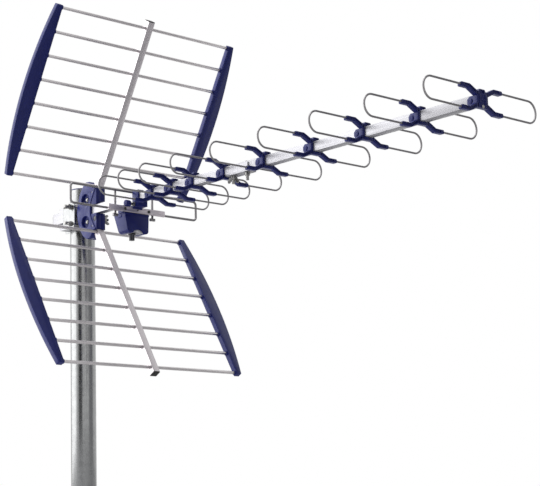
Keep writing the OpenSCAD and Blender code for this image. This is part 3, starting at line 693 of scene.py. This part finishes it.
@dataclass
class Reflector:
    """Two slanted panels of rods on square tubes, with bowed end caps. Sizes in millimetres."""

    shop: Workshop
    first_x: float = 94.3
    first_h: float = 40.8
    pitch: float = 41.8
    rods: int = 8
    angle: float = math.radians(30.0)
    half_span: float = 181.5
    end_width: float = 11.0
    mid_width: float = 26.0
    thickness: float = 9.5
    fall: float = 1.0
    margin: float = 4.5

    def panel_matrix(self, side: float, hand: float) -> Matrix:
        """Gives the move from a cap's own frame to the antenna's frame.

        Args:
            side: 1 for the upper panel, -1 for the lower one.
            hand: 1 for the left end of the rods, -1 for the right end.

        Returns:
            The matrix, which mirrors the cap where side or hand is -1.
        """
        place = Matrix.Translation(boom_point(self.first_x, 0.0, 0.0))
        rise = Matrix.Translation((0.0, 0.0, self.first_h * MM))
        turn = Matrix.Rotation(self.angle, 4, "Y")
        out = Matrix.Translation((0.0, self.half_span * MM, 0.0))
        return (place @ Matrix.Diagonal((1.0, 1.0, side, 1.0)) @ rise @ turn
                @ Matrix.Diagonal((1.0, hand, 1.0, 1.0)) @ out)

    def cap_outline(self, inset: float, steps: int = 40) -> list[Point]:
        """Draws a cap's outline, straight at the rods and bowed outside, in metres."""
        half = (self.rods - 1) * self.pitch / 2.0 + self.margin
        bow = self.mid_width - self.end_width
        radius = (half * half + bow * bow) / (2.0 * bow)
        middle = half - self.margin
        low, high = -self.margin + inset, 2.0 * half - self.margin - inset
        made = [(inset, high), (inset, low)]
        for step in range(steps + 1):
            along = low + (high - low) * step / steps
            reach = math.sqrt((radius - inset) ** 2 - (along - middle) ** 2)
            made.append((self.mid_width - radius + reach, along))
        return [(a * MM, b * MM) for a, b in made]

    def cap(self) -> bpy.types.Object:
        """Models one end cap in its own frame: a bowed shell with a ridge, collars and ribs."""
        shop = self.shop
        half = self.thickness / 2.0 * MM
        shell = shop.slab("cap", self.cap_outline(0.0), -half, half)
        slope = self.fall / self.mid_width
        for vertex in shell.data.vertices:
            if vertex.co.x > 0.0:
                vertex.co.x -= slope * vertex.co.y
        shop.modify(shell, "BEVEL", width=0.9 * MM, segments=3, limit_method="ANGLE",
                    angle_limit=math.radians(40.0))
        hollow = shop.slab("hollow", self.cap_outline(1.8), -half - 2.0 * MM, half - 2.2 * MM)
        for vertex in hollow.data.vertices:
            if vertex.co.x > 0.0:
                vertex.co.x -= slope * vertex.co.y
        shop.carve(shell, hollow)
        parts = [shell]
        run = (self.rods - 1) * self.pitch
        parts.append(shop.block("ridge", (half - 1.0 * MM, 0.5 * MM, 1.0 * MM),
                                (half + 0.35 * MM, 1.7 * MM, (run - 1.0) * MM), 0.4 * MM))
        for index in range(self.rods):
            height = index * self.pitch * MM
            parts.append(shop.round_bar("socket", Vector((0, 9.8 * MM, height)),
                                        Vector((0, -1.6 * MM, height)), 3.95 * MM, 0.3 * MM, 24))
            parts.append(shop.ring("collar", Vector((0, -1.0 * MM, height)), Vector((0, 1, 0)),
                                   3.4 * MM, 0.9 * MM))
            if 0 < index < self.rods - 1:
                off = (height / MM - run / 2.0) / (run / 2.0)
                parts.append(shop.block(
                    "rib", (-half + 0.8 * MM, 1.0 * MM, height - 0.9 * MM),
                    (half - 1.5 * MM, (9.0 + 15.0 * (1.0 - off * off)) * MM,
                     height + 0.9 * MM)))
        return shop.join("cap", parts)

    def build(self) -> None:
        """Copies the cap to the four rod ends and dresses tubes, rods and plugs."""
        shop = self.shop
        pattern = self.cap()
        for level, side in (("upper", 1.0), ("lower", -1.0)):
            for flank, hand in (("left", 1.0), ("right", -1.0)):
                piece = pattern.copy()
                piece.data = pattern.data.copy()
                piece.name = f"{level}_{flank}_cap_moulded"
                bpy.context.collection.objects.link(piece)
                piece.data.transform(self.panel_matrix(side, hand))
                shop.take(piece)
                bpy.ops.object.mode_set(mode="EDIT")
                bpy.ops.mesh.select_all(action="SELECT")
                if side * hand < 0.0:
                    bpy.ops.mesh.flip_normals()
                bpy.ops.object.mode_set(mode="OBJECT")
                shop.dress(piece, "navy", "navy_plastic", Body.HEAD, [f"{level}_{flank}_cap"])
            # The tube's finish carries painted light on the upper panel and painted shade on the
            # lower one.
            shop.refine(f"{level}_tube", 0.6, level, "bright_aluminium")
            shop.refine(f"{level}_tube_plug", 0.5, "black", "black_plastic")
            shop.refine(f"{level}_rods", 0.3, "rod", "rod_aluminium")
            collars = []
            for index in range(self.rods):
                along = index * self.pitch
                x = self.first_x + math.sin(self.angle) * along
                z = side * (self.first_h + math.cos(self.angle) * along)
                for hand in (-1.0, 1.0):
                    collars.append(shop.ring("collar", boom_point(x, hand * 6.6, z),
                                             Vector((0, 1, 0)), 2.8 * MM, 0.35 * MM))
            # The collars take their panel's tube finish, with painted light above and painted shade
            # below.
            shop.dress(shop.join(f"{level}_rod_collars", collars), level, "bright_aluminium",
                       Body.HEAD)
        bpy.data.objects.remove(pattern, do_unlink=True)


@dataclass
class Directors:
    """Nine moulded clips on the boom, each with two looped wires. Sizes in millimetres."""

    shop: Workshop
    places: tuple[float, ...] = (255.0, 307.0, 362.0, 441.0, 536.0, 644.5, 753.0, 861.5, 970.0)
    boom_half: float = 7.65
    body_half: float = 11.5
    front: float = 2.5
    rear: float = -5.5
    wire_z: float = 15.9
    sleeve_end: float = 42.8
    wire_radius: float = 1.5

    def arm(self, hand: float, side: float) -> list[bpy.types.Object]:
        """Models one arm with its sleeve: a rounded bar that rises to the wire's height.

        Args:
            hand: 1 for the left side, -1 for the right side.
            side: 1 for an upper arm, -1 for a lower one.

        Returns:
            The arm, its sleeve and the sleeve's lip.
        """
        shop = self.shop
        z, body = self.wire_z, self.body_half
        outline = rounded([(body - 3.0, 4.5), (body + 1.0, 5.6), (26.5, z - 3.1),
                           (self.sleeve_end, z - 3.1), (self.sleeve_end, z + 3.1),
                           (25.0, z + 3.1), (body - 0.5, body + 0.8), (body - 3.0, body)], 1.4)
        arm = shop.slab("arm", [(y * hand * MM, h * side * MM) for y, h in outline],
                        self.rear * MM, self.front * MM)
        shop.modify(arm, "BEVEL", width=1.0 * MM, segments=3, limit_method="ANGLE",
                    angle_limit=math.radians(50.0))
        groove = shop.slab("groove", [(y * hand * MM, h * side * MM) for y, h in rounded(
            [(13.5, 8.2), (26.5, z - 1.3), (36.0, z - 1.3), (36.0, z + 1.3), (25.4, z + 1.3),
             (13.5, 10.6)], 0.7)], (self.front - 1.0) * MM, (self.front + 2.0) * MM)
        shop.carve(arm, groove)
        lip = shop.ring("lip", Vector((0, hand * self.sleeve_end * MM, side * z * MM)),
                        Vector((0, 1, 0)), 2.0 * MM, 0.5 * MM)
        return [arm, lip]

    def clip(self, tip: bool) -> bpy.types.Object:
        """Models one clip about the boom's axis, at the wires' plane.

        Args:
            tip: Whether it is the front clip, which closes the boom's end.

        Returns:
            The clip, in metres about its own centre.
        """
        shop = self.shop
        half = self.body_half
        outline = rounded([(-half, -half - 0.5), (half, -half - 0.5), (half, half),
                           (7.0, half + 0.5), (5.5, half + 3.5), (-5.5, half + 3.5),
                           (-7.0, half + 0.5), (-half, half)], 1.4)
        body = shop.slab("body", [(y * MM, z * MM) for y, z in outline],
                         self.rear * MM, self.front * MM)
        shop.modify(body, "BEVEL", width=0.9 * MM, segments=3, limit_method="ANGLE",
                    angle_limit=math.radians(50.0))
        hole = self.boom_half * MM
        end = (self.front - 2.0) * MM if tip else 0.03
        shop.carve(body, shop.block("hole", (-0.03, -hole, -hole), (end, hole, hole)))
        pocket = shop.slab("pocket", [(y * MM, z * MM) for y, z in rounded(
            [(-4.0, half - 2.2), (4.0, half - 2.2), (3.4, half + 2.0), (-3.4, half + 2.0)], 0.6)],
            (self.front - 1.6) * MM, (self.front + 2.0) * MM)
        shop.carve(body, pocket)
        parts = [body]
        for hand in (-1.0, 1.0):
            for side in (-1.0, 1.0):
                parts += self.arm(hand, side)
        parts.append(shop.block("facet", (-3.0 * MM, -2.6 * MM, (half + 1.6) * MM),
                                (1.4 * MM, 2.6 * MM, (half + 3.9) * MM), 0.6 * MM))
        tab = shop.slab("tab", [(x * MM, z * MM) for x, z in rounded(
            [(-17.0, 2.0), (-13.0, 6.0), (-4.5, 6.0), (-4.5, -8.0), (-13.0, -8.0),
             (-17.0, -4.0)], 1.8)], -10.5 * MM, -self.boom_half * MM, side_view=True)
        shop.modify(tab, "BEVEL", width=0.6 * MM, segments=3, limit_method="ANGLE",
                    angle_limit=math.radians(50.0))
        parts.append(tab)
        parts.append(shop.round_bar("boss", Vector((-0.011, -self.boom_half * MM, -0.001)),
                                    Vector((-0.011, -11.7 * MM, -0.001)), 4.0 * MM, 0.6 * MM))
        parts.append(shop.ring("boss_rim", Vector((-0.011, -11.5 * MM, -0.001)),
                               Vector((0, 1, 0)), 2.2 * MM, 0.45 * MM))
        if tip:
            for hand in (-1.0, 1.0):
                parts.append(shop.block(
                    "hook", ((self.front - 0.8) * MM, (hand * 6.0 - 1.6) * MM, -6.5 * MM),
                    ((self.front + 0.9) * MM, (hand * 6.0 + 1.6) * MM, 7.5 * MM), 0.6 * MM))
            parts.append(shop.block("bridge", ((self.front - 0.8) * MM, -6.5 * MM, -1.4 * MM),
                                    ((self.front + 0.7) * MM, 6.5 * MM, 1.4 * MM), 0.5 * MM))
        return shop.join("clip", parts)

    def wires(self) -> bpy.types.Object:
        """Models one pair of looped wires about the boom's axis."""
        shop = self.shop
        bend = self.wire_z * MM
        inner, outer = 28.8 * MM, 118.0 * MM - bend
        parts = []
        for hand in (-1.0, 1.0):
            shop.deselect()
            bpy.ops.mesh.primitive_circle_add(
                vertices=16, radius=self.wire_radius * MM, fill_type="NGON",
                location=(0.0, hand * inner, bend), rotation=(math.radians(90.0), 0.0, 0.0))
            wire = bpy.context.object
            shop.settle(wire)
            bpy.ops.object.mode_set(mode="EDIT")
            bpy.ops.mesh.select_all(action="SELECT")
            bpy.ops.mesh.extrude_region_move(
                TRANSFORM_OT_translate={"value": (0.0, hand * (outer - inner), 0.0)})
            bpy.ops.mesh.spin(steps=28, angle=math.pi, center=(0.0, hand * outer, 0.0),
                              axis=(hand, 0.0, 0.0))
            bpy.ops.mesh.extrude_region_move(
                TRANSFORM_OT_translate={"value": (0.0, -hand * (outer - inner), 0.0)})
            bpy.ops.mesh.select_all(action="SELECT")
            bpy.ops.mesh.remove_doubles(threshold=0.00001)
            bpy.ops.mesh.normals_make_consistent(inside=False)
            bpy.ops.object.mode_set(mode="OBJECT")
            parts.append(wire)
        return shop.join("wires", parts)

    def set_out(self, pattern: bpy.types.Object, name: str, x: float) -> bpy.types.Object:
        """Copies a pattern with its own mesh to a place along the boom."""
        piece = pattern.copy()
        piece.data = pattern.data.copy()
        piece.name = name
        bpy.context.collection.objects.link(piece)
        piece.data.transform(Matrix.Translation(boom_point(x, 0.0, 0.0)))
        return piece

    def build(self) -> None:
        """Sets out the clips and wires along the boom."""
        shop = self.shop
        clip, tip, wires = self.clip(False), self.clip(True), self.wires()
        for number, x in enumerate(self.places, start=1):
            pattern = tip if number == len(self.places) else clip
            shop.dress(self.set_out(pattern, f"moulded_clip_{number}", x), "navy",
                       "navy_plastic", Body.HEAD, [f"director_clip_{number}"])
            shop.dress(self.set_out(wires, f"looped_wires_{number}", x), "wire",
                       "wire_aluminium", Body.HEAD, [f"director_wires_{number}"])
        for pattern in (clip, tip, wires):
            bpy.data.objects.remove(pattern, do_unlink=True)
        shop.refine("tip_screw", 0.2, "plated", "plated_steel")


@dataclass
class Dipole:
    """The dipole's wire, struts and plate, and the bracket that holds them."""

    shop: Workshop
    bolt_x: float = 208.8
    bolt_z: float = -12.2

    def build(self) -> None:
        """Softens the pieces and adds the bracket bolt's thread and the knob's grips."""
        shop = self.shop
        shop.refine("dipole_loop", 0.0, "wire", "wire_aluminium")
        shop.refine("dipole_struts", 0.3, "wire", "wire_aluminium")
        shop.refine("dipole_plate", 0.4, "sheet", "rod_aluminium")
        shop.refine("dipole_screws", 0.2, "oxide", "black_screw")
        shop.refine("dipole_bracket", 0.7, "navy", "navy_plastic")
        shop.refine("bracket_nut", 0.25, "plated", "plated_steel")
        thread = shop.thread("bracket_bolt_threaded", boom_point(self.bolt_x, 13, self.bolt_z),
                             boom_point(self.bolt_x, -24, self.bolt_z), 2.0 * MM)
        shop.dress(thread, "oxide", "black_screw", Body.HEAD, ["bracket_bolt"])
        knob = [shop.soften("bracket_knob", 0.8 * MM, 3)]
        for index in range(12):
            turn = math.tau * index / 12.0
            knob.append(shop.round_bar(
                "grip", boom_point(self.bolt_x + 4.9 * math.cos(turn), -27.8,
                                   self.bolt_z + 4.9 * math.sin(turn)),
                boom_point(self.bolt_x + 4.9 * math.cos(turn), -20.2,
                           self.bolt_z + 4.9 * math.sin(turn)), 0.6 * MM, 0.2 * MM, 10))
        shop.dress(shop.join("bracket_knob_fluted", knob), "navy", "navy_plastic", Body.HEAD,
                   ["bracket_knob"])


@dataclass
class BalunBox:
    """The matching box with its cover, pale liner and coaxial socket."""

    shop: Workshop
    socket_x: float = 188.8
    low: float = -61.4

    def build(self) -> None:
        """Softens the box and the cover and adds catches and the socket's thread."""
        shop = self.shop
        housing = [shop.soften("balun_housing", 1.0 * MM, 3)]
        for hand in (-1.0, 1.0):
            housing.append(shop.block(
                "catch", tuple(boom_point(184, hand * 25.2 - 0.9, -34)),
                tuple(boom_point(194, hand * 25.2 + 0.9, -27.6)), 0.5 * MM))
        shop.dress(shop.join("balun_housing_moulded", housing), "navy", "navy_plastic",
                   Body.HEAD, ["balun_housing"])
        shop.refine("balun_cover", 0.6, "navy", "navy_plastic")
        shop.refine("socket_liner", 0.3, "pale", "pale_plastic")
        socket = [shop.soften("coax_socket", 0.25 * MM)]
        socket.append(shop.thread("socket_thread", boom_point(self.socket_x, 0, self.low - 2.0),
                                  boom_point(self.socket_x, 0, self.low - 9.8), 4.75 * MM,
                                  1.0 * MM))
        shop.dress(shop.join("coax_socket_threaded", socket), "dark_plated", "plated_steel",
                   Body.HEAD, ["coax_socket"])


@dataclass
class Studio:
    """Floor, soft lamps, white surround and the camera at the photograph's angle."""

    image: tuple[int, int] = (540, 486)
    focal_px: float = 1577.5
    place: tuple[float, float, float] = (2.29856, -1.66209, -0.02181)
    yaw: float = 2.39522644
    pitch: float = 0.185965268
    roll: float = -0.0278773302

    def camera(self) -> None:
        """Places the camera where the fit to the photograph put it."""
        ahead = Vector((math.cos(self.pitch) * math.cos(self.yaw),
                        math.cos(self.pitch) * math.sin(self.yaw), math.sin(self.pitch)))
        right = ahead.cross(Vector((0, 0, 1))).normalized()
        above = right.cross(ahead)
        tilt = math.cos(self.roll), math.sin(self.roll)
        side = right * tilt[0] + above * tilt[1]
        top = above * tilt[0] - right * tilt[1]
        data = bpy.data.cameras.new("photo_camera")
        data.sensor_fit = "HORIZONTAL"
        data.sensor_width = 36.0
        data.lens = self.focal_px * 36.0 / self.image[0]
        data.clip_start = 0.05
        data.clip_end = 50.0
        camera = bpy.data.objects.new("photo_camera", data)
        turn = Matrix((side, top, -ahead)).transposed().to_4x4()
        camera.matrix_world = Matrix.Translation(self.place) @ turn
        bpy.context.collection.objects.link(camera)
        bpy.context.scene.camera = camera

    def lamp(self, name: str, place: Vector, target: Vector, size: float, power: float) -> None:
        """Hangs one square soft lamp.

        Args:
            name: The lamp's name.
            place: Where it hangs.
            target: What it faces.
            size: Its side in metres.
            power: Its power in watts.
        """
        data = bpy.data.lights.new(name, "AREA")
        data.shape = "SQUARE"
        data.size = size
        data.energy = power
        lamp = bpy.data.objects.new(name, data)
        lamp.location = place
        lamp.rotation_euler = (target - place).to_track_quat("-Z", "Y").to_euler()
        bpy.context.collection.objects.link(lamp)

    def flag(self, name: str, place: Vector, width: float, height: float,
             tones: tuple[str, str]) -> None:
        """Stands a tall felt card that is seen in reflections only.

        Args:
            name: The card's name.
            place: Its middle.
            width: Its width in metres.
            height: Its height in metres.
            tones: The darker and lighter colour of its felt.
        """
        bpy.ops.object.select_all(action="DESELECT")
        facing = Vector((0.0, 0.0, place.z)) - place
        bpy.ops.mesh.primitive_plane_add(size=1.0, location=place,
                                         rotation=facing.to_track_quat("Z", "Y").to_euler())
        card = bpy.context.object
        card.name = name
        card.scale = (width, height, 1.0)
        card.visible_camera = False
        card.visible_diffuse = False
        card.visible_shadow = False
        material, tree, shader = new_material(f"{name}_felt")
        place_out = add_node(tree, "ShaderNodeTexCoord").outputs["Object"]
        cloud = add_node(tree, "ShaderNodeTexNoise", inputs={"Vector": place_out, "Scale": 6.0})
        tone = add_node(tree, "ShaderNodeMix", {"data_type": "RGBA"}, {
            0: cloud.outputs["Fac"], 6: linear(tones[0]), 7: linear(tones[1])})
        tree.links.new(tone.outputs[2], shader.inputs["Base Color"])
        shader.inputs["Roughness"].default_value = 0.95
        card.data.materials.append(material)

    def surround(self) -> None:
        """Makes the world white for the camera and for reflections, and a soft grey for light."""
        world = bpy.data.worlds.new("white_surround")
        bpy.context.scene.world = world
        world.use_nodes = True
        tree = world.node_tree
        tree.nodes.clear()
        path = add_node(tree, "ShaderNodeLightPath")
        seen = add_node(tree, "ShaderNodeMath", {"operation": "MAXIMUM"}, {
            0: path.outputs["Is Camera Ray"], 1: path.outputs["Is Glossy Ray"]})
        seen = add_node(tree, "ShaderNodeMath", {"operation": "MAXIMUM"}, {
            0: seen.outputs[0], 1: path.outputs["Is Transmission Ray"]})
        light = add_node(tree, "ShaderNodeBackground", inputs={
            "Color": (1.0, 1.0, 1.0, 1.0), "Strength": 0.2})
        white = add_node(tree, "ShaderNodeBackground", inputs={
            "Color": (1.0, 1.0, 1.0, 1.0), "Strength": 1.0})
        mixed = add_node(tree, "ShaderNodeMixShader", inputs={
            0: seen.outputs[0], 1: light.outputs[0], 2: white.outputs[0]})
        add_node(tree, "ShaderNodeOutputWorld", inputs={"Surface": mixed.outputs[0]})

    def floor(self) -> None:
        """Lays a pale round floor under the mast's foot."""
        if bpy.context.object and bpy.context.object.mode != "OBJECT":
            bpy.ops.object.mode_set(mode="OBJECT")
        bpy.ops.object.select_all(action="DESELECT")
        bpy.ops.mesh.primitive_circle_add(vertices=96, radius=1.3, fill_type="NGON",
                                          location=(0.25, 0.0, -0.0005))
        floor = bpy.context.object
        floor.name = "studio_floor"
        material, tree, shader = new_material("matt_studio_paint")
        place = add_node(tree, "ShaderNodeTexCoord").outputs["Object"]
        cloud = add_node(tree, "ShaderNodeTexNoise", inputs={"Vector": place, "Scale": 3.0})
        tone = add_node(tree, "ShaderNodeMix", {"data_type": "RGBA"}, {
            0: cloud.outputs["Fac"], 6: linear("#ececee"), 7: linear("#f3f3f4")})
        tree.links.new(tone.outputs[2], shader.inputs["Base Color"])
        shader.inputs["Roughness"].default_value = 0.9
        floor.data.materials.append(material)

    def build(self) -> None:
        """Sets up the studio."""
        bpy.context.scene.view_settings.view_transform = "Standard"
        self.camera()
        self.surround()
        self.floor()
        middle = Vector((0.3, BOOM_Y, 0.5))
        self.lamp("key_softbox", middle + Vector((-2.1, -1.9, 0.7)), middle, 3.4, 74.0)
        self.lamp("top_softbox", middle + Vector((-0.6, -0.9, 2.6)), middle, 2.0, 40.0)
        self.flag("dark_card", middle + Vector((1.24, -3.06, 0.0)), 2.0, 6.0,
                  ("#1c1c20", "#26262c"))
        self.flag("grey_card", middle + Vector((2.3, 1.9, 0.0)), 2.6, 8.0,
                  ("#dcdce0", "#e6e6ea"))


def main() -> None:
    """Loads the frame, builds every sub-assembly and sets up the studio."""
    logging.basicConfig(level=logging.INFO, format="%(name)s: %(message)s")
    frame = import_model()
    Studio().build()
    shop = Workshop(frame)
    makers: tuple[Callable[[Workshop], Any], ...] = (
        Mast, MastClamp, Boom, Holder, Reflector, Directors, Dipole, BalunBox)
    for maker in makers:
        maker(shop).build()


if __name__ == "__main__":
    main()
